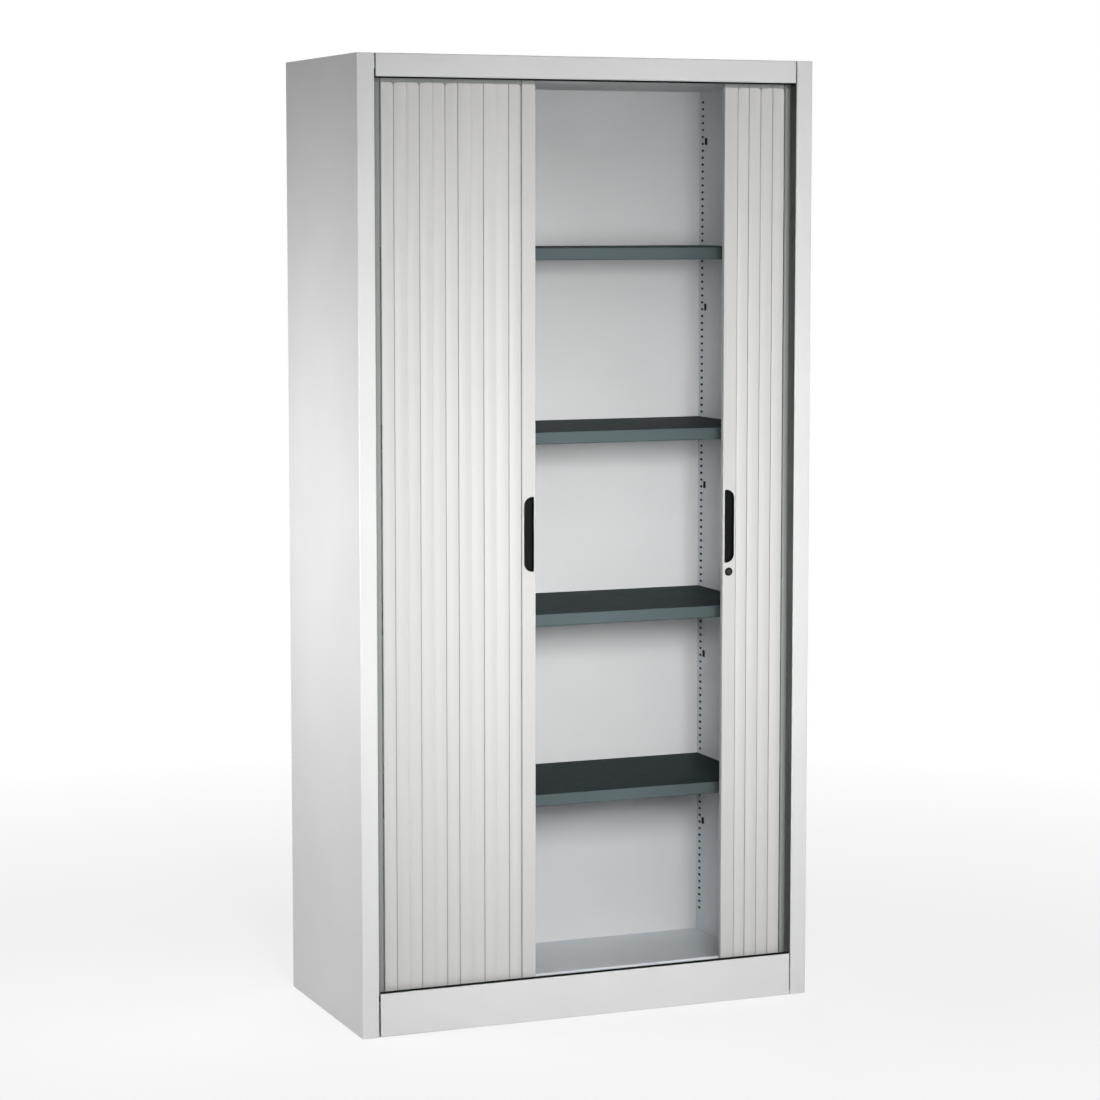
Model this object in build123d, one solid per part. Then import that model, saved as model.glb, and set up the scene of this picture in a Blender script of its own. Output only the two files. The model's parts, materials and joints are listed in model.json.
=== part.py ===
"""A tall steel filing cabinet closed by two tambour curtains, standing on its own base.

Millimetres. The origin is on the ground in the middle of the cabinet's footprint.
+X is to the right as one faces the cabinet, -Y is its front and +Z is up.
The curtains stand as they were photographed: the left one less than half closed, the right one
mostly pushed back.
"""
import math
import os

from build123d import *

# Overall size
width = 1000.0
depth = 470.0
height = 1980.0

# Folded sheet steel of the carcass
sheet = 1.0
bend = 1.5
corner_round = 0.8
hem = 4.0
least_turn = 0.1

# Front frame: corner posts, fascia, plinth and the open seam between them
post_width = 36.0
post_hem = 3.0
seam = 3.0
fascia_height = 46.0
plinth_height = 90.0
plinth_lip = 30.0
edging_height = 4.0
edging_round = 0.8
ledge_width = 24.0

# Rear frame and the recessed back panel
rear_return = 30.0
back_recess = 20.0
back_rise = 2.0
back_flange_gap = 2.0
back_screw_rows = 6
back_screw_margin = 90.0

# Inner lining: walls, floor and ceiling
wall_inset = 50.0
wall_setback = 62.0
wall_hem = 3.0
floor_height = 49.0
floor_lip_height = 93.0
floor_lip_hem = 6.0
bottom_flange = 22.0
notch_gap = 1.0

# Peg holes and slots in the inner walls
hole_pitch = 15.2
hole_radius = 2.5
rear_hole_length = 12.0
hole_first = 99.4
hole_count = 120
rear_hole_inset = 16.0
front_hole_setback = 118.0
slot_width = 13.0
slot_height = 15.0
slot_offset = 17.0
slot_holes = (14, 39, 64, 90, 114)
slot_below_hole = 10.0

# Shelves and the clips they lie on
shelf_first_hole = 23
shelf_step_holes = 25
shelf_count = 4
shelf_setback = 101.0
shelf_back_gap = 6.0
shelf_side_gap = 3.0
shelf_lip = 25.5
shelf_lip_return = 10.0
clip_width = 14.0
clip_sheet = 2.0
clip_arm = 11.0
clip_rise = 4.0
clip_tail = 4.0
peg_clearance = 0.2
peg_length = 3.0

# The line that the curtains follow: along the front, round a corner, back along the side
curtain_setback = 10.0
pocket_inset = 34.0
corner_radius = 24.0
track_front = 8.0
track_rear = 10.0
track_end_gap = 2.0
track_drop = 3.0
groove_clearance = 0.6
top_track_height = 19.0
bottom_track_height = 13.0
groove_floor = 2.0
bottom_track_sink = 7.0
stop_length = 8.0

# Tambour slats
slat_pitch = 27.2
slat_count = 16
slat_rise = 4.0
slat_sagitta = 2.0
slat_back = 2.5
slat_gap = 0.15
slat_back_inset = 3.2
slat_edge_round = 0.9
slat_head_gap = 8.0
slat_foot_sink = 5.0
hinge_search_steps = 50
tongue_half = 2.0
tongue_inset = 1.4
tongue_rise = 6.0
tongue_drop = 11.0

# Leading profiles, which carry the handles and the lock
lead_width = 29.5
lead_proud = 1.5
lead_depth = 12.0
lead_wall = 1.2
lead_round = 1.5
left_opening = 119.0
right_opening = 303.0

# Handles: a finger recess with one straight side and one bowed side
handle_height = 154.0
handle_width = 22.0
handle_edge = 3.7
handle_centre = 1013.0
handle_small_round = 3.0
handle_bow_round = 18.5
handle_depth = 10.0
handle_wall = 1.2
handle_flange = 1.5
handle_clearance = 0.1
handle_rim = 2.0
handle_rim_proud = 0.5

# Lock below the right handle, with a hook that closes round a pin on the left profile
lock_below_handle = 96.0
lock_inset = 13.7
lock_face_radius = 8.6
lock_face_thickness = 1.6
lock_barrel_radius = 7.0
lock_plug_radius = 5.4
lock_running_gap = 0.06
lock_fit_gap = 0.1
lock_nut_width = 19.0
lock_nut_thickness = 2.5
keyway_length = 6.4
keyway_width = 1.4
keyway_depth = 8.0
plug_sink = 0.4
cam_thickness = 2.0
cam_gap = 0.5
cam_reach = 22.0
cam_rim = 5.0
cam_slot_gap = 0.5
cam_spread = 26.0
cam_tail_radius = 3.0
cam_screw_radius = 4.2
cam_screw_height = 2.0
closing_gap = 0.6
strike_radius = 2.0
strike_head_radius = 3.4
strike_head = 1.4
strike_stand = 0.6

# Cross rails of the carcass
rail_sheet = 1.5
rail_depth = 40.0
rail_bend = 1.5
base_rail_low = 10.0
base_rail_setback = 31.0
rear_rail_gap = 12.0
top_rail_front = 8.0
top_rail_depth = 46.0
tray_inset = 4.0
tray_front = 4.0

# Levelling feet
foot_pad_radius = 18.0
foot_pad_height = 8.0
foot_pad_round = 2.0
foot_stem_radius = 4.9
foot_stem_length = 35.0
foot_inset = 62.0
foot_nut_width = 17.0
foot_nut_height = 8.0
foot_thread_gap = 0.08

# Pan-head screws
screw_radius = 1.75
screw_head_radius = 3.5
screw_head_height = 2.2
screw_fit = 0.1
screw_tail = 3.0
plinth_screw_count = 4
plinth_screw_margin = 120.0

# Levels and planes worked out from the sizes above
half = width / 2
front = -depth / 2
back = depth / 2
fascia_low = height - fascia_height
track_low = fascia_low - track_drop
track_high = track_low + top_track_height
slat_high = track_low - slat_head_gap
slat_low = plinth_height - slat_foot_sink
tongue_high = track_low + tongue_rise
tongue_low = slat_low - tongue_drop
bottom_track_high = plinth_height - bottom_track_sink
bottom_track_low = bottom_track_high - bottom_track_height
ledge_height = height - sheet
panel_edge = half - post_width - seam
back_face = back - back_recess
wall_face = half - wall_inset
lining_edge = wall_face + sheet
back_edge = half - rear_return
track_line = front + curtain_setback + slat_rise
corner_x = half - pocket_inset - corner_radius
corner_y = track_line + corner_radius
side_x = half - pocket_inset
groove_half = tongue_half + groove_clearance
corner_sag = corner_radius - math.sqrt(corner_radius ** 2 - (slat_pitch / 2) ** 2)
corner_leg = slat_pitch
straight_x = corner_x - corner_leg
straight_y = corner_y + corner_leg
lead_face = front + curtain_setback - lead_proud
lead_rear = lead_face + lead_depth
lock_height = handle_centre - lock_below_handle
base_rail_high = floor_height - sheet
foot_y_front = front + base_rail_setback + rail_depth / 2
rear_rail_front = back_face - rear_rail_gap - rail_depth


def folded(points, thickness=sheet, radius=bend):
    """The outline of folded sheet: points run along one face, and the metal is on their left."""
    count = len(points)
    ways = []
    for a, b in zip(points, points[1:]):
        length = math.dist(a, b)
        ways.append(((b[0] - a[0]) / length, (b[1] - a[1]) / length))
    other = []
    near_radii = []
    far_radii = []
    for i, (x, y) in enumerate(points):
        before = ways[max(i - 1, 0)]
        after = ways[min(i, count - 2)]
        turn = before[0] * after[1] - before[1] * after[0]
        across = thickness / (1 + before[0] * after[0] + before[1] * after[1])
        other.append((x - (before[1] + after[1]) * across, y + (before[0] + after[0]) * across))
        near_radii.append(0 if abs(turn) < least_turn else radius + (thickness if turn > 0 else 0))
        far_radii.append(0 if abs(turn) < least_turn else radius + (thickness if turn < 0 else 0))
    outline = points + other[::-1]
    return make_face(FilletPolyline(*outline, radius=near_radii + far_radii[::-1], close=True))


def box(x0, x1, y0, y1, z0, z1):
    """A block between two corners."""
    return Pos((x0 + x1) / 2, (y0 + y1) / 2, (z0 + z1) / 2) * Box(x1 - x0, y1 - y0, z1 - z0)


def along_z(face, low, high):
    """A plan outline made solid between two heights."""
    return extrude(Plane.XY.offset(low) * face, high - low)


def along_x(face, left, right):
    """A side-view outline, drawn in Y and Z, made solid between two X places."""
    return extrude(Plane.YZ.offset(left) * face, right - left)


def along_y(face, near, far):
    """A front-view outline, drawn in X and Z, made solid between two Y places."""
    plane = Plane(origin=(0, near, 0), x_dir=(1, 0, 0), z_dir=(0, -1, 0))
    return extrude(plane * face, near - far)


def rod_y(radius, x, z, near, far):
    """A round bar along Y."""
    return Pos(x, (near + far) / 2, z) * Rot(90, 0, 0) * Cylinder(radius, far - near)


def rod_x(radius, y, z, left, right):
    """A round bar along X."""
    return Pos((left + right) / 2, y, z) * Rot(0, 90, 0) * Cylinder(radius, right - left)


def rod_z(radius, x, y, low, high):
    """A round bar along Z."""
    return Pos(x, y, (low + high) / 2) * Cylinder(radius, high - low)


def mirrored(shape):
    """The same shape on the other side of the cabinet."""
    return mirror(shape, about=Plane.YZ)


def both_sides(shape):
    """A left-hand shape and its right-hand twin."""
    return [shape, mirrored(shape)]


def back_screw_heights():
    """The heights of the screws that hold the back panel."""
    span = fascia_low - 2 * back_screw_margin
    return [back_screw_margin + span * i / (back_screw_rows - 1) for i in range(back_screw_rows)]


def back_screw_y():
    """Where those screws stand, halfway across the recess behind the back panel."""
    return back - back_recess / 2 + sheet


def side_panel():
    """Left side in one fold: rear lip, rear return, side, front post and its hem, with end flanges."""
    plan = folded([
        (-half + post_width, front + post_hem),
        (-half + post_width, front),
        (-half, front),
        (-half, back),
        (-half + rear_return, back),
        (-half + rear_return, back - back_recess + back_rise),
    ][::-1])
    panel = along_z(plan, 0, height)
    near = front + sheet
    far = back - sheet
    panel += box(-half + sheet, -half + post_width - sheet, near, far, height - sheet, height)
    panel += box(-half + sheet, -half + bottom_flange, near, far, 0, sheet)
    top_edges = panel.edges().group_by(Axis.Z)[-1]
    outer = [e for e in top_edges if on_outside(e)]
    panel = fillet(outer, corner_round)
    ledge_start = -half + post_width - 2 * sheet
    panel += box(ledge_start, -half + post_width + ledge_width, front + hem, back - hem,
                 height - 2 * sheet, height - sheet)
    for z in back_screw_heights():
        panel -= rod_x(screw_radius + screw_fit, back_screw_y(), z,
                       -half + rear_return - 2 * sheet, -half + rear_return + sheet)
    return panel


def on_outside(edge):
    """Whether a top edge of the left side panel runs along its outside."""
    centre = edge.center()
    rim = bend + 2 * sheet
    on_side = centre.X < -half + rim
    on_front = centre.Y < front + sheet / 2 and centre.X < -half + post_width - sheet
    on_back = centre.Y > back - sheet / 2 and centre.X < -half + rear_return - sheet
    at_rim = centre.X < -half + sheet / 2 or on_front or on_back
    bends = on_side and edge.geom_type == GeomType.CIRCLE and edge.radius > bend + sheet / 2
    return at_rim or bends


def top_cover():
    """Top sheet with the fascia folded down in front and a matching flange behind."""
    profile = folded([
        (front + hem, fascia_low),
        (front, fascia_low),
        (front, height),
        (back, height),
        (back, fascia_low),
        (back - hem, fascia_low),
    ][::-1])
    cover = along_x(profile, -panel_edge, panel_edge)
    for side in (-1, 1):
        ends = sorted((side * panel_edge, side * (panel_edge - sheet)))
        cover += box(*ends, front + sheet / 2, front + hem, fascia_low + sheet / 2, ledge_height)
    return cover


def corner_notches():
    """The corners that the linings leave free for the turning slats."""
    reach = corner_x - notch_gap
    notch = box(-half, -reach, front, corner_y + notch_gap, 0, height)
    return both_sides(notch)


def ceiling_panel():
    """Lining under the top, turned up at the front against the track."""
    profile = folded([
        (track_line + track_rear, track_high),
        (track_line + track_rear, track_low),
        (back_face, track_low),
        (back_face, track_high),
    ])
    return along_x(profile, -lining_edge, lining_edge) - corner_notches()


def back_panel():
    """Recessed back with a flange turned rearwards all round."""
    flange_end = back - back_flange_gap
    plan = folded([
        (-back_edge, flange_end),
        (-back_edge, back_face),
        (back_edge, back_face),
        (back_edge, flange_end),
    ])
    high = fascia_low - sheet
    panel = along_z(plan, 0, high)
    inner = back_edge - sheet
    for z in (0, high - sheet):
        panel += box(-inner, inner, back_face + sheet / 2, flange_end, z, z + sheet)
    for z in back_screw_heights():
        for side in (-1, 1):
            ends = sorted((side * (back_edge + sheet), side * (back_edge - 2 * sheet)))
            panel -= rod_x(screw_radius + screw_fit, back_screw_y(), z, *ends)
    return panel


def hole_height(number):
    """The height of a peg hole, counted from the lowest."""
    return hole_first + hole_pitch * number


def shelf_hole(level):
    """Which hole the upper pegs of a shelf's clips are in, counting shelves from the lowest."""
    return shelf_first_hole + shelf_step_holes * level


def shelf_top(level):
    """The height of a shelf's upper face."""
    return hole_height(shelf_hole(level)) + clip_rise + sheet


def hole_columns():
    """How far back the two columns of peg holes stand."""
    return front + front_hole_setback, back_face - rear_hole_inset


def peg_outline(y, slack):
    """Outline of a peg hole, or with some slack of its peg: round in front, oblong at the rear to take up play."""
    radius = hole_radius - slack
    if y < 0:
        return Circle(radius)
    return SlotOverall(rear_hole_length - 2 * slack, 2 * radius)


def inner_wall():
    """Left lining wall with two columns of peg holes and a slot in each compartment."""
    start = front + wall_setback
    plan = folded([
        (-wall_face - wall_hem, start),
        (-wall_face, start),
        (-wall_face, back_face),
    ])
    wall = along_z(plan, floor_height, track_low)
    side_view = Sketch()
    for y in hole_columns():
        for number in range(hole_count):
            side_view += Pos(y, hole_height(number)) * peg_outline(y, 0)
    for number in slot_holes:
        y = hole_columns()[1] - slot_offset
        z = hole_height(number) - slot_below_hole
        side_view += Pos(y, z) * Rectangle(slot_width, slot_height)
    return wall - along_x(side_view, -wall_face - 2 * sheet, -wall_face + sheet)


def floor_panel():
    """Lining floor, turned up at the front to make the rear wall of the track."""
    profile = folded([
        (back_face, floor_height),
        (track_line + track_rear + sheet, floor_height),
        (track_line + track_rear + sheet, floor_lip_height - sheet),
        (track_line + track_rear + floor_lip_hem, floor_lip_height - sheet),
    ])
    return along_x(profile, -lining_edge, lining_edge) - corner_notches()


def plinth_screw_places():
    """Where the plinth's lip is screwed to the front base rail."""
    span = 2 * (panel_edge - plinth_screw_margin)
    return [-span / 2 + span * i / (plinth_screw_count - 1) for i in range(plinth_screw_count)]


def plinth():
    """Front plinth, returned under the base and up against the front base rail."""
    rail_front = front + base_rail_setback
    profile = folded([
        (front + post_hem, plinth_height),
        (front, plinth_height),
        (front, 0),
        (rail_front, 0),
        (rail_front, plinth_lip),
    ])
    part = along_x(profile, -panel_edge, panel_edge)
    for side in (-1, 1):
        ends = sorted((side * panel_edge, side * (panel_edge - sheet)))
        part += box(*ends, front + sheet / 2, front + post_hem, sheet / 2, plinth_height - sheet / 2)
    for x in plinth_screw_places():
        part -= rod_y(screw_radius + screw_fit, x, plinth_screw_height(),
                      rail_front - 2 * sheet, rail_front + sheet)
    return part


def plinth_edging():
    """Black strip along the plinth's upper fold, rounded on top."""
    strip = box(-panel_edge, panel_edge, front, front + post_hem, plinth_height, plinth_height + edging_height)
    upper = strip.edges().filter_by(Axis.X).group_by(Axis.Z)[-1]
    return fillet(upper, edging_round)


def plinth_screw_height():
    """Halfway between the base rail's lower fold and the top of the plinth's lip."""
    return (base_rail_low + plinth_lip) / 2 + rail_bend


def rail(near, deep, low, high):
    """A channel across the cabinet, open towards the rear."""
    profile = folded([
        (near + deep, low),
        (near, low),
        (near, high),
        (near + deep, high),
    ][::-1], rail_sheet, rail_bend)
    return along_x(profile, -half + sheet, half - sheet)


def foot_centres():
    """The four levelling feet: left and right, in the front and rear base rails."""
    y_rear = rear_rail_front + rail_depth / 2
    return {
        "front_left_foot": (-half + foot_inset, foot_y_front),
        "front_right_foot": (half - foot_inset, foot_y_front),
        "rear_left_foot": (-half + foot_inset, y_rear),
        "rear_right_foot": (half - foot_inset, y_rear),
    }


def with_foot_holes(part):
    """Clears a base rail's lower fold for the stems of the feet."""
    hole = foot_stem_radius + 2 * screw_fit
    for x, y in foot_centres().values():
        part -= rod_z(hole, x, y, base_rail_low - sheet, base_rail_low + rail_sheet + sheet)
    return part


def front_base_rail():
    """Front channel under the floor, with the screw holes for the plinth."""
    near = front + base_rail_setback
    part = with_foot_holes(rail(near, rail_depth, base_rail_low, base_rail_high))
    for x in plinth_screw_places():
        part -= rod_y(screw_radius + screw_fit, x, plinth_screw_height(),
                      near - sheet, near + rail_sheet + sheet)
    return part


def rear_base_rail():
    """Rear channel under the floor."""
    return with_foot_holes(rail(rear_rail_front, rail_depth, base_rail_low, base_rail_high))


def front_top_rail():
    """Front channel that ties the side panels and carries the top track."""
    return rail(front + top_rail_front, top_rail_depth, track_high, height - 2 * sheet)


def rear_top_rail():
    """Rear channel that ties the side panels at the top."""
    return rail(rear_rail_front, rail_depth, track_high, height - 2 * sheet)


def pocket_tray():
    """Left channel under the curtain pocket, which carries the lower tracks."""
    outer = -half + tray_inset
    inner = -wall_face - sheet - track_end_gap
    profile = folded([
        (inner, base_rail_high),
        (inner, bottom_track_low),
        (outer, bottom_track_low),
        (outer, base_rail_high),
    ])
    return along_y(profile, front + tray_front, back_face)


def groove_span(high):
    """The heights between which a track's groove is cut, for the upper or the lower track."""
    if high:
        return track_low - sheet, track_high - groove_floor
    return bottom_track_low + groove_floor, bottom_track_high + sheet


def track_span(high):
    """The heights between which a track stands, for the upper or the lower track."""
    return (track_low, track_high) if high else (bottom_track_low, bottom_track_high)


def front_track(high):
    """Straight guide across the front, between the corner guides."""
    block = box(-straight_x, straight_x, track_line - track_front, track_line + track_rear,
                *track_span(high))
    cut = box(-half, half, track_line - groove_half, track_line + groove_half, *groove_span(high))
    return block - cut


def corner_strip(outward, inward, low, high):
    """A strip round the left corner, measured outward and inward of the track line."""
    outer = corner_radius + outward
    strip = rod_z(outer, -corner_x, corner_y, low, high)
    strip -= rod_z(corner_radius - inward, -corner_x, corner_y, low, high)
    strip &= box(-corner_x - outer, -corner_x, corner_y - outer, corner_y, low, high)
    strip += box(-corner_x, -straight_x, track_line - outward, track_line + inward, low, high)
    return strip + box(-side_x - outward, -side_x + inward, corner_y, straight_y, low, high)


def corner_guides():
    """Curved guides at the corners, above and below, with room for a slat to turn."""
    parts = []
    inward = corner_sag + groove_half
    for high in (True, False):
        block = corner_strip(track_front, track_rear, *track_span(high))
        groove = corner_strip(groove_half, inward, *groove_span(high))
        parts += both_sides(block - groove)
    return parts


def side_track_end():
    """Where the side tracks end, short of the back panel."""
    return back_face - track_end_gap


def side_tracks():
    """Straight guides in the pockets, above and below."""
    parts = []
    for high in (True, False):
        block = box(-side_x - track_front, -side_x + track_rear, straight_y, side_track_end(),
                    *track_span(high))
        cut = box(-side_x - groove_half, -side_x + groove_half, corner_y, back, *groove_span(high))
        parts += both_sides(block - cut)
    return parts


def track_end_stops():
    """Rubber blocks in the far ends of the side tracks."""
    parts = []
    for high in (True, False):
        low, top = groove_span(high)
        low, top = (low + sheet, top) if high else (low, top - sheet)
        block = box(-side_x - groove_half, -side_x + groove_half, side_track_end() - stop_length,
                    side_track_end(), low, top)
        parts += both_sides(block)
    return parts


def shelf(level):
    """A shelf with folded front and rear edges."""
    top = shelf_top(level)
    near = front + shelf_setback
    far = back_face - shelf_back_gap
    profile = folded([
        (near + shelf_lip_return, top - shelf_lip),
        (near, top - shelf_lip),
        (near, top),
        (far, top),
        (far, top - shelf_lip),
    ][::-1])
    edge = wall_face - shelf_side_gap
    return along_x(profile, -edge, edge)


def shelf_clip(y, level):
    """A left-hand clip: a plate with two pegs in the wall and an arm under the shelf."""
    peg = hole_height(shelf_hole(level))
    wall = -wall_face
    near, far = y - clip_width / 2, y + clip_width / 2
    plate = box(wall, wall + clip_sheet, near, far, peg - hole_pitch - clip_tail, peg + clip_rise)
    arm = box(wall, wall + clip_sheet + clip_arm, near, far, peg + clip_rise - clip_sheet, peg + clip_rise)
    clip = plate + arm
    for z in (peg, peg - hole_pitch):
        peg_shape = Pos(y, z) * peg_outline(y, peg_clearance)
        clip += along_x(peg_shape, wall - sheet - peg_length, wall + clip_sheet / 2)
    return clip


def shelf_clips():
    """Four clips for every shelf."""
    parts = []
    for level in range(shelf_count):
        for y in hole_columns():
            parts += both_sides(shelf_clip(y, level))
    return parts


def path_point(reach):
    """A point of the left curtain's line: reach counts along it from where the corner begins."""
    arc = corner_radius * math.pi / 2
    if reach <= 0:
        return -corner_x - reach, track_line
    if reach < arc:
        angle = reach / corner_radius
        return (-corner_x - corner_radius * math.sin(angle),
                corner_y - corner_radius * math.cos(angle))
    return -side_x, corner_y + reach - arc


def next_hinge(reach):
    """How far along the line the next hinge lies, one slat's width away in a straight line."""
    start = path_point(reach)
    low, high = reach, reach + 2 * slat_pitch
    for _ in range(hinge_search_steps):
        middle = (low + high) / 2
        if math.dist(start, path_point(middle)) < slat_pitch:
            low = middle
        else:
            high = middle
    return high


def hinge_reaches(opening):
    """Where the hinges of a curtain stand along its line, the first at its leading profile."""
    reaches = [opening + lead_width - corner_x]
    for _ in range(slat_count):
        reaches.append(next_hinge(reaches[-1]))
    return reaches


def slat_section():
    """Plan outline of one slat, drawn from one hinge to the next with its bowed face towards -Y."""
    low, high = slat_gap, slat_pitch - slat_gap
    shoulder = slat_sagitta - slat_rise
    crown = ThreePointArc((low, shoulder), (slat_pitch / 2, -slat_rise), (high, shoulder))
    rest = Polyline((high, shoulder), (high, 0), (slat_pitch - slat_back_inset, slat_back),
                    (slat_back_inset, slat_back), (low, 0), (low, shoulder))
    face = make_face(crown + rest)
    shoulders = face.vertices().group_by(Axis.Y)[0]
    return fillet(shoulders, slat_edge_round)


def slat(reach, section):
    """One slat of the left curtain, with the thinner tongues that run in the tracks."""
    ahead, behind = path_point(reach), path_point(next_hinge(reach))
    way = (ahead[0] - behind[0], ahead[1] - behind[1], 0)
    plane = Plane(origin=(behind[0], behind[1], slat_low), x_dir=way, z_dir=(0, 0, 1))
    body = extrude(plane * section, slat_high - slat_low)
    span = slat_pitch - 2 * tongue_inset
    tongue = Pos(slat_pitch / 2, 0) * Rectangle(span, 2 * tongue_half)
    long_plane = plane.offset(tongue_low - slat_low)
    return body + extrude(long_plane * tongue, tongue_high - tongue_low)


def slats(opening, wanted):
    """The slats of the left curtain that lie on the wanted stretch of its line."""
    section = slat_section()
    arc = corner_radius * math.pi / 2
    parts = []
    for reach in hinge_reaches(opening)[:-1]:
        middle = reach + slat_pitch / 2
        where = "front" if middle <= 0 else "corner" if middle < arc + slat_pitch / 4 else "pocket"
        if where == wanted:
            parts.append(slat(reach, section))
    return parts


def handle_outline(grow):
    """The finger recess seen from the front, its straight side on the leading edge's side."""
    half_width = handle_width / 2 + grow
    half_height = handle_height / 2 + grow
    corners = [(-half_width, -half_height), (half_width, -half_height),
               (half_width, half_height), (-half_width, half_height)]
    bow = handle_bow_round + grow
    small = handle_small_round + grow
    return make_face(FilletPolyline(*corners, radius=[bow, small, small, bow], close=True))


def handle_place(opening):
    """The centre of the left curtain's finger recess."""
    return -opening - handle_edge - handle_width / 2, handle_centre


def lead_profile(opening, with_lock):
    """A hollow leading profile with its handle opening, drawn as the left curtain's."""
    outer = -opening - lead_width
    face = Pos(outer + lead_width / 2, lead_face + lead_depth / 2) * RectangleRounded(
        lead_width, lead_depth, lead_round)
    hollow = Pos(outer + lead_width / 2, lead_face + lead_depth / 2) * Rectangle(
        lead_width - 2 * lead_wall, lead_depth - 2 * lead_wall)
    profile = along_z(face - hollow, slat_low, slat_high)
    x, z = handle_place(opening)
    rim = Pos(x, z) * (handle_outline(handle_rim) - handle_outline(0))
    profile += along_y(rim, lead_face - handle_rim_proud, lead_face + lead_wall)
    hole = Pos(x, z) * handle_outline(0)
    profile -= along_y(hole, lead_face - lead_wall, lead_face + lead_wall + sheet)
    if with_lock:
        profile -= rod_y(lock_barrel_radius + lock_fit_gap, -opening - lock_inset, lock_height,
                         lead_face - sheet, lead_rear + sheet)
    else:
        profile -= rod_y(strike_radius, strike_x(), lock_height,
                         lead_rear - 2 * lead_wall, lead_rear + sheet)
    return profile


def strike_x():
    """Where the pin stands on the left profile, so that the closed lock's hook lies round it."""
    return -left_opening - (cam_reach - lock_inset - closing_gap)


def handle_shell(opening):
    """The dark finger cup behind a leading profile's opening, drawn as the left curtain's."""
    x, z = handle_place(opening)
    bottom = lead_face + handle_depth
    cup = along_y(Pos(x, z) * handle_outline(-handle_clearance), lead_face, bottom)
    cup -= along_y(Pos(x, z) * handle_outline(-handle_clearance - handle_wall),
                   lead_face - sheet, bottom - handle_wall)
    flange = handle_outline(handle_flange) - handle_outline(-handle_clearance - handle_wall)
    seat = lead_face + lead_wall
    return cup + along_y(Pos(x, z) * flange, seat, seat + handle_wall)


def lead_glides(opening):
    """The shoes on a leading profile that run in the upper and lower tracks."""
    left = -opening - lead_width + tongue_inset
    right = -opening - tongue_inset
    near, far = track_line - tongue_half, track_line + tongue_half
    return [
        box(left, right, near, far, slat_high, tongue_high),
        box(left, right, near, far, tongue_low, slat_low),
    ]


def hexagon(across_flats):
    """A nut's outline."""
    return RegularPolygon(across_flats / 2, 6, major_radius=False)


def lock_x():
    """The lock's centre line, on the right curtain's leading profile."""
    return right_opening + lock_inset


def lock_rear():
    """The rear end of the lock's barrel."""
    return lead_rear + lock_nut_thickness + cam_gap / 2


def lock_housing():
    """The lock's barrel with its round face."""
    x, z = lock_x(), lock_height
    part = rod_y(lock_face_radius, x, z, lead_face - lock_face_thickness, lead_face)
    rims = part.edges().group_by(Axis.Y)[0]
    part = chamfer(rims, lock_face_thickness / 2)
    part += rod_y(lock_barrel_radius, x, z, lead_face, lock_rear())
    return part - rod_y(lock_plug_radius + lock_running_gap, x, z, lead_face - depth, lead_face + depth)


def lock_nut():
    """The nut that holds the lock's barrel to the profile."""
    x, z = lock_x(), lock_height
    part = along_y(Pos(x, z) * hexagon(lock_nut_width), lead_rear, lead_rear + lock_nut_thickness)
    return part - rod_y(lock_barrel_radius, x, z, lead_rear - sheet, lock_rear() + sheet)


def cam_front():
    """The hook's front face."""
    return lead_rear + lock_nut_thickness + cam_gap


def lock_plug():
    """The turning core, with its keyway in front and a tail that carries the hook."""
    x, z = lock_x(), lock_height
    near = lead_face - lock_face_thickness + plug_sink
    part = rod_y(lock_plug_radius, x, z, near, cam_front())
    part += rod_y(cam_tail_radius, x, z, cam_front(), cam_front() + cam_thickness)
    keyway = Pos(x, z) * Rectangle(keyway_width, keyway_length)
    return part - along_y(keyway, near - sheet, near + keyway_depth)


def sector(radius, start, end):
    """A flat slice of a disc between two angles, in degrees from +X towards +Z."""
    points = [(0, 0)]
    for angle in (start, (start + end) / 2, end):
        turn = math.radians(angle)
        points.append((2 * radius * math.cos(turn), 2 * radius * math.sin(turn)))
    return Circle(radius) & make_face(Polyline(*points, close=True))


def lock_cam():
    """The hook on the plug's tail, pointing up: a quarter turn lays its slot round the strike pin."""
    slot_half = strike_radius + cam_slot_gap
    outer = cam_reach + slot_half + cam_rim / 2
    arm = sector(outer, 90 - cam_spread, 90 + cam_spread)
    hub = Circle(cam_tail_radius + cam_rim)
    slot = sector(cam_reach + slot_half, 90, 90 + 2 * cam_spread) - Circle(cam_reach - slot_half)
    slot += Pos(0, cam_reach) * Circle(slot_half)
    plate = arm + hub - slot - Circle(cam_tail_radius)
    return along_y(Pos(lock_x(), lock_height) * plate, cam_front(), cam_front() + cam_thickness)


def cam_screw():
    """The screw head that holds the hook on the plug."""
    near = cam_front() + cam_thickness
    return rod_y(cam_screw_radius, lock_x(), lock_height, near, near + cam_screw_height)


def strike_pin():
    """The headed pin on the back of the left profile."""
    head = cam_front() + cam_thickness + strike_stand
    pin = rod_y(strike_radius, strike_x(), lock_height, lead_rear - lead_wall, head)
    return pin + rod_y(strike_head_radius, strike_x(), lock_height, head, head + strike_head)


def foot(x, y):
    """A levelling foot: a round pad on a threaded stem."""
    pad = rod_z(foot_pad_radius, x, y, 0, foot_pad_height)
    pad = fillet(pad.edges().group_by(Axis.Z)[-1], foot_pad_round)
    return pad + rod_z(foot_stem_radius, x, y, foot_pad_height / 2, foot_pad_height + foot_stem_length)


def foot_nuts():
    """The nuts on the base rails in which the feet turn."""
    low = base_rail_low + rail_sheet
    parts = []
    for x, y in foot_centres().values():
        nut = along_z(Pos(x, y) * hexagon(foot_nut_width), low, low + foot_nut_height)
        bore = rod_z(foot_stem_radius + foot_thread_gap, x, y, low - sheet, low + foot_nut_height + sheet)
        parts.append(nut - bore)
    return parts


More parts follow.
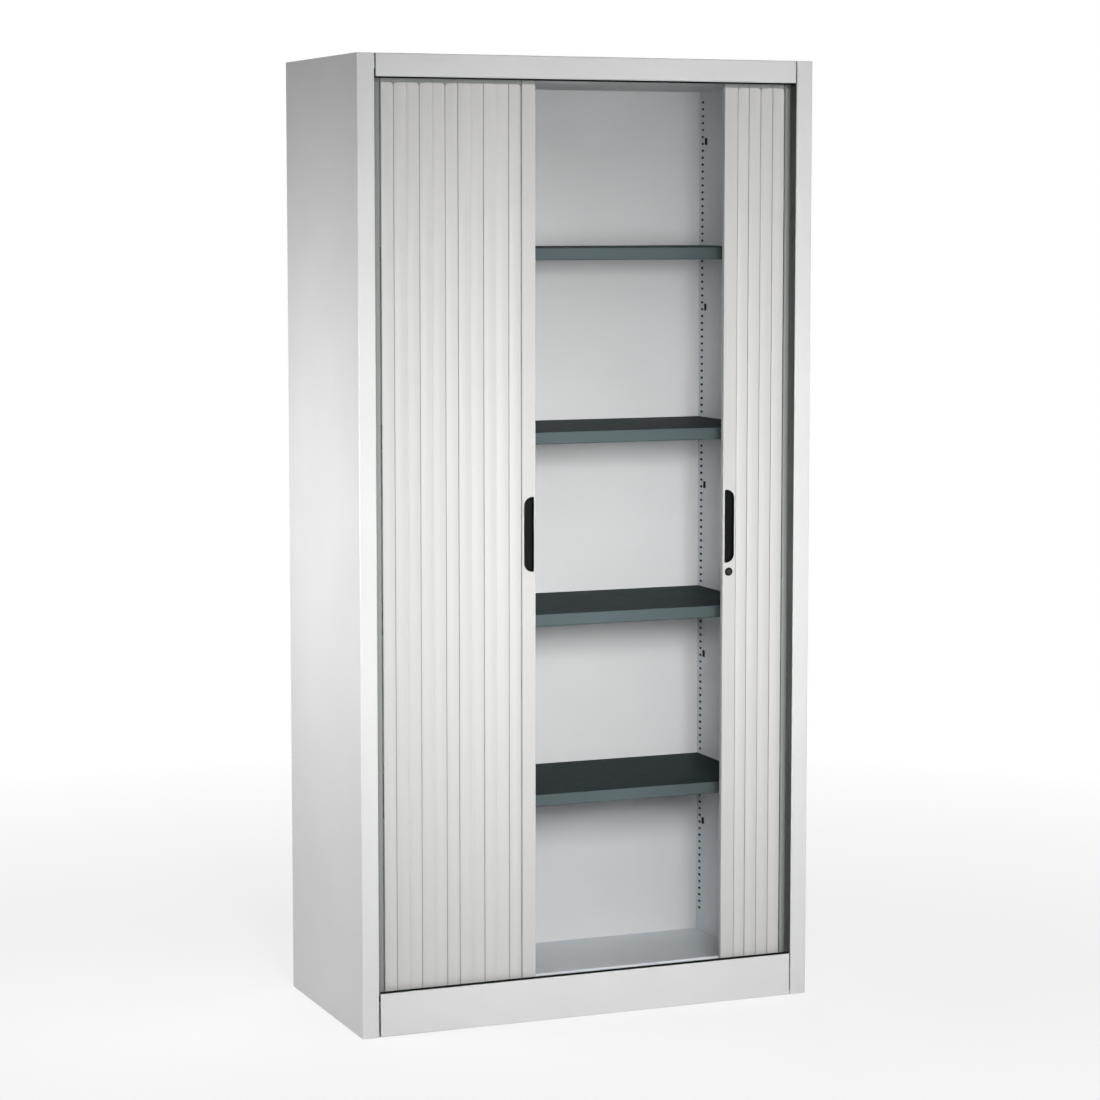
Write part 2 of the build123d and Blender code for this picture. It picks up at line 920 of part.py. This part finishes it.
def back_panel_screws():
    """Screws through the back panel's side flanges into the side panels' rear lips."""
    parts = []
    for z in back_screw_heights():
        inner = -back_edge + sheet
        head = rod_x(screw_head_radius, back_screw_y(), z, inner, inner + screw_head_height)
        shank = rod_x(screw_radius, back_screw_y(), z, -back_edge - sheet - screw_tail, inner)
        parts += both_sides(head + shank)
    return parts


def plinth_screws():
    """Screws through the plinth's lip into the front base rail."""
    parts = []
    lip = front + base_rail_setback - sheet
    z = plinth_screw_height()
    for x in plinth_screw_places():
        head = rod_y(screw_head_radius, x, z, lip - screw_head_height, lip)
        parts.append(head + rod_y(screw_radius, x, z, lip, lip + sheet + rail_sheet + screw_tail))
    return parts


def save(name, parts):
    """Writes one sub-part, which may be a group of like solids."""
    if isinstance(parts, list):
        parts = Compound(children=[solid for part in parts for solid in part.solids()])
    export_step(parts, f"parts/{name}.step")


def main():
    """Makes every sub-part of the cabinet."""
    os.makedirs("parts", exist_ok=True)
    side = side_panel()
    wall = inner_wall()
    tray = pocket_tray()
    save("left_side_panel", side)
    save("right_side_panel", mirrored(side))
    save("top_cover", top_cover())
    save("ceiling_panel", ceiling_panel())
    save("back_panel", back_panel())
    save("left_inner_wall", wall)
    save("right_inner_wall", mirrored(wall))
    save("floor_panel", floor_panel())
    save("plinth", plinth())
    save("plinth_edging", plinth_edging())
    save("front_base_rail", front_base_rail())
    save("rear_base_rail", rear_base_rail())
    save("front_top_rail", front_top_rail())
    save("rear_top_rail", rear_top_rail())
    save("left_pocket_tray", tray)
    save("right_pocket_tray", mirrored(tray))
    save("top_front_track", front_track(True))
    save("bottom_front_track", front_track(False))
    save("corner_guides", corner_guides())
    save("side_tracks", side_tracks())
    save("track_end_stops", track_end_stops())
    for level in range(shelf_count):
        save(f"shelf_{level + 1}", shelf(level))
    save("shelf_clips", shelf_clips())
    for stretch in ("front", "corner", "pocket"):
        save(f"left_{stretch}_slats", slats(left_opening, stretch))
        save(f"right_{stretch}_slats", [mirrored(s) for s in slats(right_opening, stretch)])
    save("left_leading_profile", lead_profile(left_opening, False))
    save("right_leading_profile", mirrored(lead_profile(right_opening, True)))
    save("left_handle_shell", handle_shell(left_opening))
    save("right_handle_shell", mirrored(handle_shell(right_opening)))
    save("left_glides", lead_glides(left_opening))
    save("right_glides", [mirrored(g) for g in lead_glides(right_opening)])
    save("strike_pin", strike_pin())
    save("lock_housing", lock_housing())
    save("lock_nut", lock_nut())
    save("lock_plug", lock_plug())
    save("lock_cam", lock_cam())
    save("cam_screw", cam_screw())
    for name, (x, y) in foot_centres().items():
        save(name, foot(x, y))
    save("foot_nuts", foot_nuts())
    save("back_panel_screws", back_panel_screws())
    save("plinth_screws", plinth_screws())


main()
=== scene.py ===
"""Looks of the tambour filing cabinet: slats, finishes, light and camera, in metres in its own frame."""
import json
import math

import bmesh
import bpy
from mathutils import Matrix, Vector


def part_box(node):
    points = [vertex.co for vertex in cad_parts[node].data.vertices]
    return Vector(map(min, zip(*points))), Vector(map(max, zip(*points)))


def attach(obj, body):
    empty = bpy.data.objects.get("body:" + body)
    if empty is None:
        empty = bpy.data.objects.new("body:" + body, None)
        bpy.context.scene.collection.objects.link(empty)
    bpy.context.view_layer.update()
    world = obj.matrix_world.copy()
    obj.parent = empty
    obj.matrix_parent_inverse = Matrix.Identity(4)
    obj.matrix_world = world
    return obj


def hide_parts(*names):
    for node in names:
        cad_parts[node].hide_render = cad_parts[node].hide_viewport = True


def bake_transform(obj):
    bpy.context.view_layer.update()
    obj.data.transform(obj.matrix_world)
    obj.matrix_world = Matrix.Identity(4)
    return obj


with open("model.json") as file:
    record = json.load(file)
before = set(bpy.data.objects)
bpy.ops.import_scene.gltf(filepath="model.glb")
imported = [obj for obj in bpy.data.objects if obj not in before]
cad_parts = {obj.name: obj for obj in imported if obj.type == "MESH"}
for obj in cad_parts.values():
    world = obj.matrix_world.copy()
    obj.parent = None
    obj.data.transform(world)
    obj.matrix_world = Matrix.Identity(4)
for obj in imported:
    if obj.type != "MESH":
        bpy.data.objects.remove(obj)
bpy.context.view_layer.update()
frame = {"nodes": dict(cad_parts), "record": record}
nodes = frame["nodes"]

# Camera, solved from the cabinet's corners in the photograph
camera_place = (-2.4619, -6.0724, 1.6717)
camera_turn = -22.1055
camera_dip = 5.6527
camera_lens = 101.519
camera_sensor = 36.0
camera_shift = -0.03

# Slats: a bowed face in front of the track line, and a flat back behind it
slat_pitch = 0.0272
slat_count = 15
slat_rise = 0.004
slat_sagitta = 0.0022
slat_back = 0.0025
slat_back_inset = 0.0032
face_steps = 12

# Joints between slats: every second one is soft, and the others are crisp. Each has a gap, an edge that
# is rounded off across and in depth, and a rounding of the slat's corners at its ends
soft_gap = 0.0008
soft_shoulder = 0.0022
soft_drop = 0.0012
soft_round = 0.007
crisp_gap = 0.0011
crisp_shoulder = 0.0006
crisp_drop = 0.0012
crisp_round = 0.0015
lead_gap = 0.0044
end_steps = 4

# A web closes each joint behind its groove, measured in depth from the track line
groove_depth = -0.0005
web_front = 0.0002
web_back = 0.001

# Necks at the slats' ends, which run in the tracks
neck_front = 0.0004
neck_back = 0.002
neck_inset = 0.0004
neck_overlap = 0.002

# The slat that turns the corner: its angle, and how far its inner edge stands from the cabinet's side
turning_angle = 40.0
turning_sides = {"left": 0.0505, "right": 0.0555}

# How deep slats stand behind the front ones at the same place, and how deep the filler slats stand
behind_step = 0.0004
filler_back = 0.0026

# Edges flatter than this many degrees look smooth
smooth_angle = 40.0

# Floor: for the camera it glows white from some distance on, and only partly near the cabinet's shadow
floor_reach = 60.0
floor_near = 0.9
floor_far = 3.0
floor_glow = 0.75

# From the frame: the leading edges at rest, the line on which slats run, and the heights of slats and necks
lead_low, lead_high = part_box("left_leading_profile")
glide_low, glide_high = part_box("left_glides")
half_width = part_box("right_side_panel")[1][0]
left_edge = lead_high[0]
right_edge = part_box("right_leading_profile")[0][0]
lead_width = lead_high[0] - lead_low[0]
track_line = (glide_low[1] + glide_high[1]) / 2
slat_low = lead_low[2]
slat_high = lead_high[2]
tongue_low = glide_low[2]
tongue_high = glide_high[2]
neck_reach = soft_round + neck_overlap


def node_tree(material):
    """The material's nodes, links and shader."""
    material.use_nodes = True
    tree = material.node_tree
    return tree, tree.nodes["Principled BSDF"]


def ramp(tree, source, stops):
    """A colour ramp over a source, with stops of (place, colour)."""
    made = tree.nodes.new("ShaderNodeValToRGB")
    elements = made.color_ramp.elements
    while len(elements) < len(stops):
        elements.new(0.5)
    for element, (place, colour) in zip(elements, stops):
        element.position = place
        element.color = (*colour, 1.0)
    tree.links.new(source, made.inputs["Fac"])
    return made.outputs["Color"]


def shade(colour, factor):
    """A colour made lighter or darker."""
    return tuple(channel * factor for channel in colour)


def noise(tree, scale, detail=3.0, roughness=0.5, stretch=(1.0, 1.0, 1.0)):
    """Noise laid over the object's own metres."""
    where = tree.nodes.new("ShaderNodeTexCoord")
    mapping = tree.nodes.new("ShaderNodeMapping")
    mapping.inputs["Scale"].default_value = stretch
    tree.links.new(where.outputs["Object"], mapping.inputs["Vector"])
    made = tree.nodes.new("ShaderNodeTexNoise")
    made.inputs["Scale"].default_value = scale
    made.inputs["Detail"].default_value = detail
    made.inputs["Roughness"].default_value = roughness
    tree.links.new(mapping.outputs["Vector"], made.inputs["Vector"])
    return made.outputs["Fac"]


def bump(tree, shader, height, distance, strength=1.0):
    """Relief on the shader."""
    made = tree.nodes.new("ShaderNodeBump")
    made.inputs["Strength"].default_value = strength
    made.inputs["Distance"].default_value = distance
    tree.links.new(height, made.inputs["Height"])
    tree.links.new(made.outputs["Normal"], shader.inputs["Normal"])


def within(tree, limits):
    """1 within limits of (axis, middle, reach), and 0 elsewhere. X counts from the cabinet's middle."""
    where = tree.nodes.new("ShaderNodeTexCoord")
    parts = tree.nodes.new("ShaderNodeSeparateXYZ")
    tree.links.new(where.outputs["Object"], parts.inputs["Vector"])
    shares = []
    for axis, middle, reach in limits:
        compare = tree.nodes.new("ShaderNodeMath")
        compare.operation = "COMPARE"
        source = parts.outputs[axis]
        if axis == "X":
            across = tree.nodes.new("ShaderNodeMath")
            across.operation = "ABSOLUTE"
            tree.links.new(source, across.inputs[0])
            source = across.outputs["Value"]
        tree.links.new(source, compare.inputs[0])
        compare.inputs[1].default_value = middle
        compare.inputs[2].default_value = reach
        shares.append(compare.outputs["Value"])
    total = shares[0]
    for share in shares[1:]:
        product = tree.nodes.new("ShaderNodeMath")
        product.operation = "MULTIPLY"
        tree.links.new(total, product.inputs[0])
        tree.links.new(share, product.inputs[1])
        total = product.outputs["Value"]
    return total


def mixed(tree, share, outside, inside):
    """One colour where the share is 0, and another where it is 1."""
    made = tree.nodes.new("ShaderNodeMix")
    made.data_type = "RGBA"
    tree.links.new(share, made.inputs["Factor"])
    tree.links.new(outside, made.inputs["A"])
    tree.links.new(inside, made.inputs["B"])
    return made.outputs["Result"]


def clouded(tree, clouds, colour, spread):
    """A colour that varies by a spread to either side, as the clouds do."""
    return ramp(tree, clouds, [(0.3, shade(colour, 1 - spread)), (0.7, shade(colour, 1 + spread))])


def painted_pocket_shade(tree, clouds):
    """Painted shade for the pockets behind the inner walls: grey in front, almost black at the rear."""
    front = clouded(tree, clouds, pocket_shade_colour, 0.1)
    rear = clouded(tree, clouds, rear_shade_colour, 0.1)
    return mixed(tree, within(tree, rear_limits), front, rear)


def paint(name, colour, roughness, spread=0.02, gloss_level=0.5, shaded_pockets=False, edge=None):
    """Fine powder coat: an orange-peel skin, faint clouds in its colour and in its gloss.

    It can take painted shade in the pockets, and a painted highlight, a lighter colour, on the shelves' front
    edges.
    """
    material = bpy.data.materials.new(name)
    tree, shader = node_tree(material)
    shader.inputs["Specular IOR Level"].default_value = gloss_level
    clouds = noise(tree, 6.0, detail=4.0)
    tint = clouded(tree, clouds, colour, spread)
    # Painted shade: the pockets behind the inner walls turn grey, and almost black at the rear
    if shaded_pockets:
        tint = mixed(tree, within(tree, pocket_limits), tint, painted_pocket_shade(tree, clouds))
    # Painted highlight: a lighter colour on the shelves' front edges, where they catch the light
    if edge:
        tint = mixed(tree, within(tree, lip_limits), tint, clouded(tree, clouds, edge, spread))
    tree.links.new(tint, shader.inputs["Base Color"])
    gloss = tree.nodes.new("ShaderNodeMapRange")
    gloss.inputs["To Min"].default_value = roughness - gloss_spread
    gloss.inputs["To Max"].default_value = roughness + gloss_spread
    tree.links.new(noise(tree, 40.0), gloss.inputs["Value"])
    tree.links.new(gloss.outputs["Result"], shader.inputs["Roughness"])
    bump(tree, shader, noise(tree, 900.0, detail=2.0), 0.00005)
    return material


def slat_plastic():
    """Extruded plastic, drawn out along the slats."""
    material = bpy.data.materials.new("slat_plastic")
    tree, shader = node_tree(material)
    streaks = noise(tree, 260.0, detail=2.0, stretch=(1.0, 1.0, 0.004))
    tint = ramp(tree, streaks, [(0.3, shade(slat_colour, 0.985)), (0.7, shade(slat_colour, 1.01))])
    # Painted shade: slats that stand in the pockets turn grey, and almost black at the rear
    tint = mixed(tree, within(tree, pocket_limits), tint, painted_pocket_shade(tree, streaks))
    tree.links.new(tint, shader.inputs["Base Color"])
    shader.inputs["Roughness"].default_value = 0.5
    bump(tree, shader, streaks, 0.00004)
    return material


def grained_plastic(name, colour):
    """Moulded plastic with a fine grain."""
    material = bpy.data.materials.new(name)
    tree, shader = node_tree(material)
    grain = noise(tree, 1500.0, detail=2.0)
    tree.links.new(clouded(tree, grain, colour, 0.15), shader.inputs["Base Color"])
    shader.inputs["Roughness"].default_value = 0.55
    shader.inputs["Specular IOR Level"].default_value = 0.12
    bump(tree, shader, grain, 0.00006)
    return material


def metal(name, colour, roughness, scale):
    """Plated metal with faint clouds and fine scratches."""
    material = bpy.data.materials.new(name)
    tree, shader = node_tree(material)
    clouds = noise(tree, scale, detail=5.0)
    tint = ramp(tree, clouds, [(0.35, shade(colour, 0.85)), (0.65, shade(colour, 1.1))])
    tree.links.new(tint, shader.inputs["Base Color"])
    shader.inputs["Metallic"].default_value = 1.0
    shader.inputs["Roughness"].default_value = roughness
    bump(tree, shader, noise(tree, scale * 20, detail=2.0), 0.00003)
    return material


def rubber():
    """Dull black rubber."""
    material = bpy.data.materials.new("stop_rubber")
    tree, shader = node_tree(material)
    dust = noise(tree, 300.0)
    tint = ramp(tree, dust, [(0.4, (0.02, 0.02, 0.02)), (0.7, (0.035, 0.034, 0.033))])
    tree.links.new(tint, shader.inputs["Base Color"])
    shader.inputs["Roughness"].default_value = 0.8
    bump(tree, shader, dust, 0.0001)
    return material


# Where the painted shade of the pockets and the painted highlight of the shelves' front edges lie, just under
# the skins of the sheets around them
pocket_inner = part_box("right_inner_wall")[0][0]
pocket_outer = half_width
back_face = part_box("back_panel")[0][1]
shelf_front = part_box("shelf_1")[0][1]
skin = 0.0002
lip_skin = 0.0012
pocket_limits = (
    ("X", (pocket_inner + pocket_outer) / 2, (pocket_outer - pocket_inner) / 2 - skin),
    ("Y", 0.0, back_face + skin),
    ("Z", (tongue_low + tongue_high) / 2, (tongue_high - tongue_low) / 2),
)
rear_limits = (("Y", back_face, back_face),)
lip_limits = (("Y", shelf_front, lip_skin),)

# Finishes: how much the paint's gloss varies, and the colours
gloss_spread = 0.04
carcass_colour = (0.63, 0.635, 0.63)
# Painted shade of the pockets: grey towards the front, almost black at the rear
pocket_shade_colour = (0.48, 0.51, 0.485)
rear_shade_colour = (0.02, 0.022, 0.022)
lining_colour = (0.70, 0.705, 0.71)
# Painted shade: a bluish copy of the lining colour for the inner walls and the floor, which lie in shade
shade_tint_colour = (0.66, 0.70, 0.73)
shelf_colour = (0.012, 0.026, 0.026)
# Painted highlight on the shelves' front edges
lip_highlight_colour = (0.08, 0.105, 0.11)
slat_colour = (0.515, 0.512, 0.502)
lead_shade = 0.95
# Painted shade: a darker grey for the slats' necks and grooves, the glides and the turning slats
shade_grey_colour = (0.27, 0.285, 0.27)
black_colour = (0.004, 0.0055, 0.005)
zinc_colour = (0.55, 0.56, 0.57)
nickel_colour = (0.20, 0.21, 0.20)
dark_nickel_colour = (0.05, 0.055, 0.053)

# Painted shade: the darker grey plastic for necks, glides, grooves and turning slats
shade_grey_plastic = grained_plastic("shade_grey_plastic", shade_grey_colour)
# Painted shade: the inner walls and the floor take the bluish copy of the lining paint
shade_tinted_paint = paint("shade_tinted_paint", shade_tint_colour, 0.5, shaded_pockets=True)
dark_nickel = metal("dark_nickel", dark_nickel_colour, 0.35, 200.0)
own_finishes = {
    "left_inner_wall": shade_tinted_paint,
    "right_inner_wall": shade_tinted_paint,
    "floor_panel": shade_tinted_paint,
    "left_glides": shade_grey_plastic,
    "right_glides": shade_grey_plastic,
    "lock_housing": dark_nickel,
}
finishes = {
    "carcass_paint": paint("carcass_paint", carcass_colour, 0.42, shaded_pockets=True),
    "lining_paint": paint("lining_paint", lining_colour, 0.5, shaded_pockets=True),
    "shelf_paint": paint("shelf_paint", shelf_colour, 0.6, spread=0.06, gloss_level=0.06, edge=lip_highlight_colour),
    "profile_paint": paint("profile_paint", shade(slat_colour, lead_shade), 0.42),
    "slat_plastic": slat_plastic(),
    "black_plastic": grained_plastic("black_plastic", black_colour),
    "stop_rubber": rubber(),
    "zinc_steel": metal("zinc_steel", zinc_colour, 0.4, 60.0),
    "lock_metal": metal("lock_metal", nickel_colour, 0.3, 200.0),
}


def dress_nodes():
    """Gives every solid of the cabinet its finish."""
    slots = {part["node"]: part["material_slot"] for part in frame["record"]["subparts"]}
    for name, node in nodes.items():
        node.data.materials.clear()
        node.data.materials.append(own_finishes.get(name, finishes[slots[name]]))


def quarter_turn():
    """The angles of a rounded edge, in even steps short of a right angle."""
    return [math.radians(90 * i / end_steps) for i in range(end_steps)]


def slat_outline(outer_soft, by_lead):
    """Plan outline of a slat, from its outer edge to the one nearer the handle, and back: (across, deep)."""
    soft = (soft_shoulder, soft_drop, soft_gap)
    crisp = (crisp_shoulder, crisp_drop, crisp_gap)
    outer, inner = (soft, crisp) if outer_soft else (crisp, soft)
    if by_lead:
        inner = (crisp_shoulder, crisp_drop, lead_gap)
    left = outer[2] / 2
    right = slat_pitch - inner[2] / 2
    points = []
    for i in range(face_steps + 1):
        share = i / face_steps
        across = left + outer[0] + (right - left - outer[0] - inner[0]) * share
        bow = slat_sagitta * (2 * share - 1) ** 2
        points.append((across, -slat_rise + bow))
    edge = -slat_rise + slat_sagitta
    first = []
    last = []
    for angle in quarter_turn():
        turn, fall = 1 - math.cos(angle), 1 - math.sin(angle)
        first.append((left + outer[0] * turn, edge + outer[1] * fall))
        last.append((right - inner[0] * turn, edge + inner[1] * fall))
    web = [(right, web_front), (slat_pitch, web_front), (slat_pitch, web_back)]
    back = [(slat_pitch - slat_back_inset, slat_back), (slat_back_inset, slat_back)]
    return first + points + last[::-1] + web + back + [(0, web_back), (0, web_front), (left, web_front)]


def loft(rings, closed_ends=True):
    """A mesh through rings of points that each have the same count."""
    made = bmesh.new()
    rows = [[made.verts.new(point) for point in ring] for ring in rings]
    count = len(rings[0])
    for low, high in zip(rows, rows[1:]):
        for i in range(count):
            j = (i + 1) % count
            made.faces.new((low[i], low[j], high[j], high[i]))
    if closed_ends:
        made.faces.new(rows[0][::-1])
        made.faces.new(rows[-1])
    return made


def drawn_in(round_size, rise):
    """How far a corner of some rounding is drawn in at a height above the slat's end."""
    if rise >= round_size:
        return 0.0
    return round_size - math.sqrt(round_size ** 2 - (round_size - rise) ** 2)


def end_levels():
    """Heights of a slat's rings above its end, close together where its corners are round."""
    rises = {0.0}
    for round_size in (soft_round, crisp_round):
        rises.update(round_size * (1 - math.cos(angle)) for angle in quarter_turn()[1:])
        rises.add(round_size)
    return sorted(rises)


def slat_mesh(name, outer_soft, by_lead=False):
    """A slat one pitch wide, its outer edge at the origin. Its grooves and necks take the second material, a
    darker grey that is painted shade.
    """
    outline = slat_outline(outer_soft, by_lead)
    outer, inner = (soft_round, crisp_round) if outer_soft else (crisp_round, soft_round)
    levels = [(rise, slat_low + rise) for rise in end_levels()]
    levels += [(rise, slat_high - rise) for rise in end_levels()[::-1]]
    rings = []
    for rise, z in levels:
        left, right = drawn_in(outer, rise), drawn_in(inner, rise)
        squeeze = 1 - (left + right) / slat_pitch
        rings.append([(left + x * squeeze, y, z) for x, y in outline])
    made = loft(rings)
    plain_faces = len(made.faces)
    corners = [(neck_inset, neck_front), (slat_pitch - neck_inset, neck_front),
               (slat_pitch - neck_inset, neck_back), (neck_inset, neck_back)]
    for low, high in ((tongue_low, slat_low + neck_reach), (slat_high - neck_reach, tongue_high)):
        neck = loft([[(x, y, z) for x, y in corners] for z in (low, high)])
        copy = bpy.data.meshes.new("neck")
        neck.to_mesh(copy)
        made.from_mesh(copy)
        neck.free()
    mesh = bpy.data.meshes.new(name)
    made.to_mesh(mesh)
    made.free()
    for face in mesh.polygons:
        face.use_smooth = True
        # Painted shade: faces in the grooves and on the necks take the darker grey
        in_groove = groove_depth < face.center.y < web_back
        face.material_index = int(in_groove or face.index >= plain_faces)
    return mesh


def place_slat(name, mesh):
    """Puts a slat in the scene, with painted shade, a darker grey plastic, in its grooves and on its necks.
    """
    made = bpy.data.objects.new(name, mesh)
    bpy.context.scene.collection.objects.link(made)
    mesh.materials.append(finishes["slat_plastic"])
    mesh.materials.append(shade_grey_plastic)
    return made


def keep_edges(obj):
    """Keeps hard edges hard under smooth shading."""
    obj.data.set_sharp_from_angle(angle=math.radians(smooth_angle))


def follow(obj, body, share):
    """obj moves with a curtain's leading profile when its share is 1 or more, and stays with the carcass when
    it is 0 or less.

    A share in between leaves it where it stands, attached to no body.
    """
    if share <= 0:
        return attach(obj, "carcass")
    if share >= 1:
        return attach(obj, body)
    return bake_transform(obj)


def slat_at(name, side, place_from_side, depth_back, outer_soft, by_lead, body, share):
    """One slat of a curtain, whose outer edge stands at a distance from the cabinet's side."""
    mesh = slat_mesh(name, outer_soft, by_lead)
    for vertex in mesh.vertices:
        across = vertex.co.x + place_from_side
        vertex.co.x = side * (half_width - across)
        vertex.co.y += track_line + depth_back
    if side > 0:
        mesh.flip_normals()
    made = place_slat(name, mesh)
    keep_edges(made)
    follow(made, body, share)
    return made


def curtain(name, side, edge, shares, nodes_replaced):
    """All slats of one curtain, each placed at rest by what part of the leading edge's travel it is given,
    and how deep.
    """
    closing = abs(edge)
    body = name + "_curtain"
    for number, (share, back) in enumerate(shares, start=1):
        closed = half_width - lead_width - slat_pitch * number
        rest = closed - closing * share
        # At rest, the place of the slat counted from the leading profile, which sets how its joints look
        seen = round((half_width - lead_width - closing - rest) / slat_pitch)
        slat_at(f"{name}_slat_{number:02d}", side, rest, back, seen % 2 == 0,
                            side > 0 and number == 1, body, share)
    turning = slat_mesh(name + "_turning_slat", True)
    angle = math.radians(turning_angle)
    for vertex in turning.vertices:
        along = slat_pitch - vertex.co.x
        across = turning_sides[name] - along * math.cos(angle) + vertex.co.y * math.sin(angle)
        deep = along * math.sin(angle) + vertex.co.y * math.cos(angle)
        vertex.co.x = side * (half_width - across)
        vertex.co.y = track_line + deep + 2 * behind_step
    # Painted shade: the whole turning slat takes the darker grey
    for face in turning.polygons:
        face.material_index = 1
    if side > 0:
        turning.flip_normals()
    turned = place_slat(name + "_turning_slat", turning)
    keep_edges(turned)
    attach(turned, "carcass")
    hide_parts(nodes_replaced[0])
    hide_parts(nodes_replaced[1])


def left_shares():
    """The left curtain's slats: most stand a whole number of pitches back at rest, four fill in behind."""
    step = slat_pitch / abs(left_edge)
    steps = {1: 0, 2: 0, 4: 1, 5: 1, 7: 2, 8: 2, 9: 2, 11: 3, 12: 3, 14: 4, 15: 4}
    fillers = {3: 0.87, 6: 0.67, 10: 0.41, 13: 0.21}
    shares = []
    for number in range(1, slat_count + 1):
        if number in steps:
            shares.append((1 - step * steps[number], 0))
        else:
            shares.append((fillers[number], filler_back))
    return shares


def right_shares():
    """The right curtain's slats: at rest they stand one behind another at the four visible places."""
    step = slat_pitch / abs(right_edge)
    steps = (0, 0, 1, 2, 3, 3, 4, 5, 6, 6, 7, 8, 9, 10, 11)
    shares = []
    back = 0
    place_before = None
    for number, moved in enumerate(steps, start=1):
        seen = number - moved
        back = back + 1 if seen == place_before else 0
        place_before = seen
        shares.append((1 - step * moved, back * behind_step))
    return shares


def studio_floor():
    """A pale floor, far larger than the cabinet, that fades into the white behind it."""
    material = bpy.data.materials.new("floor_white")
    tree, shader = node_tree(material)
    tint = ramp(tree, noise(tree, 3.0), [(0.3, (0.84, 0.84, 0.84)), (0.7, (0.86, 0.86, 0.86))])
    tree.links.new(tint, shader.inputs["Base Color"])
    shader.inputs["Roughness"].default_value = 0.9
    where = tree.nodes.new("ShaderNodeTexCoord")
    away = tree.nodes.new("ShaderNodeVectorMath")
    away.operation = "LENGTH"
    tree.links.new(where.outputs["Object"], away.inputs[0])
    fade = tree.nodes.new("ShaderNodeMapRange")
    fade.inputs["From Min"].default_value = floor_near
    fade.inputs["From Max"].default_value = floor_far
    fade.inputs["To Min"].default_value = floor_glow
    tree.links.new(away.outputs["Value"], fade.inputs["Value"])
    glow = tree.nodes.new("ShaderNodeMath")
    glow.operation = "MULTIPLY"
    tree.links.new(fade.outputs["Result"], glow.inputs[0])
    tree.links.new(tree.nodes.new("ShaderNodeLightPath").outputs["Is Camera Ray"], glow.inputs[1])
    white = tree.nodes.new("ShaderNodeEmission")
    both = tree.nodes.new("ShaderNodeMixShader")
    tree.links.new(glow.outputs["Value"], both.inputs["Fac"])
    tree.links.new(shader.outputs["BSDF"], both.inputs[1])
    tree.links.new(white.outputs["Emission"], both.inputs[2])
    tree.links.new(both.outputs["Shader"], tree.nodes["Material Output"].inputs["Surface"])
    mesh = bpy.data.meshes.new("studio_floor")
    corners = [(-floor_reach, -floor_reach, 0), (floor_reach, -floor_reach, 0),
               (floor_reach, floor_reach, 0), (-floor_reach, floor_reach, 0)]
    mesh.from_pydata(corners, [], [(0, 1, 2, 3)])
    mesh.materials.append(material)
    made = bpy.data.objects.new("studio_floor", mesh)
    bpy.context.scene.collection.objects.link(made)


def softbox(name, azimuth, height_angle, distance, size, power, aim=(0.0, 0.0, 1.0), beam=180.0):
    """A soft square light that looks at aim. Its azimuth turns from the cabinet's front to its right side."""
    light = bpy.data.lights.new(name, "AREA")
    light.shape = "SQUARE"
    light.size = size
    light.energy = power
    light.spread = math.radians(beam)
    turn, rise = math.radians(azimuth), math.radians(height_angle)
    away = Vector((math.sin(turn) * math.cos(rise), -math.cos(turn) * math.cos(rise), math.sin(rise)))
    made = bpy.data.objects.new(name, light)
    made.location = Vector(aim) + away * distance
    made.rotation_euler = away.to_track_quat("Z", "Y").to_euler()
    made.visible_camera = False
    bpy.context.scene.collection.objects.link(made)


def studio_lights():
    """Softboxes: azimuth and height angle in degrees, distance, size, power."""
    front_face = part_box("plinth")[0][1]
    softbox("left", -88.0, 0.0, 1.9, 0.7, 6.4, aim=(0, 0, 1.05))
    softbox("left_near", -92.0, 0.0, 1.5, 0.5, 10.6, aim=(0, 0.05, 1.05))
    softbox("left_high", -20.0, 30.0, 3.2, 1.8, 14.6)
    softbox("front_high", 10.0, 30.0, 3.2, 1.8, 7.9)
    softbox("right_high", 40.0, 30.0, 3.2, 1.8, 23.0)
    softbox("right", 65.0, 10.0, 3.2, 1.8, 13.8)
    softbox("low", -30.0, 2.0, 3.0, 1.0, 3.3, aim=(0, 0, 0.5))
    softbox("low_near", 5.0, 0.0, 1.4, 0.4, 1.9, aim=(0.1, front_face, 0.5))
    softbox("beam", -15.0, 12.0, 3.2, 0.8, 8.8, aim=(0, front_face, 0.9), beam=50.0)
    softbox("behind", 165.0, 20.0, 3.2, 1.8, 30.0)


def studio_world():
    """White behind the cabinet for the camera, which gives no light."""
    world = bpy.data.worlds.new("studio")
    world.use_nodes = True
    tree = world.node_tree
    dark = tree.nodes["Background"]
    dark.inputs["Color"].default_value = (1, 1, 1, 1)
    dark.inputs["Strength"].default_value = 0.0
    white = tree.nodes.new("ShaderNodeBackground")
    white.inputs["Color"].default_value = (1, 1, 1, 1)
    both = tree.nodes.new("ShaderNodeMixShader")
    tree.links.new(tree.nodes.new("ShaderNodeLightPath").outputs["Is Camera Ray"], both.inputs["Fac"])
    tree.links.new(dark.outputs["Background"], both.inputs[1])
    tree.links.new(white.outputs["Background"], both.inputs[2])
    tree.links.new(both.outputs["Shader"], tree.nodes["World Output"].inputs["Surface"])
    bpy.context.scene.world = world


def camera():
    """The photograph's camera."""
    data = bpy.data.cameras.new("camera")
    data.lens = camera_lens
    data.sensor_width = camera_sensor
    data.shift_y = camera_shift
    made = bpy.data.objects.new("camera", data)
    made.location = camera_place
    made.rotation_euler = (math.radians(90 - camera_dip), 0, math.radians(camera_turn))
    bpy.context.scene.collection.objects.link(made)
    bpy.context.scene.camera = made


dress_nodes()
curtain("left", -1, left_edge, left_shares(), ("left_front_slats", "left_corner_slats"))
curtain("right", 1, right_edge, right_shares(), ("right_front_slats", "right_corner_slats"))
studio_floor()
studio_world()
studio_lights()
camera()
bpy.context.scene.view_settings.view_transform = "Standard"
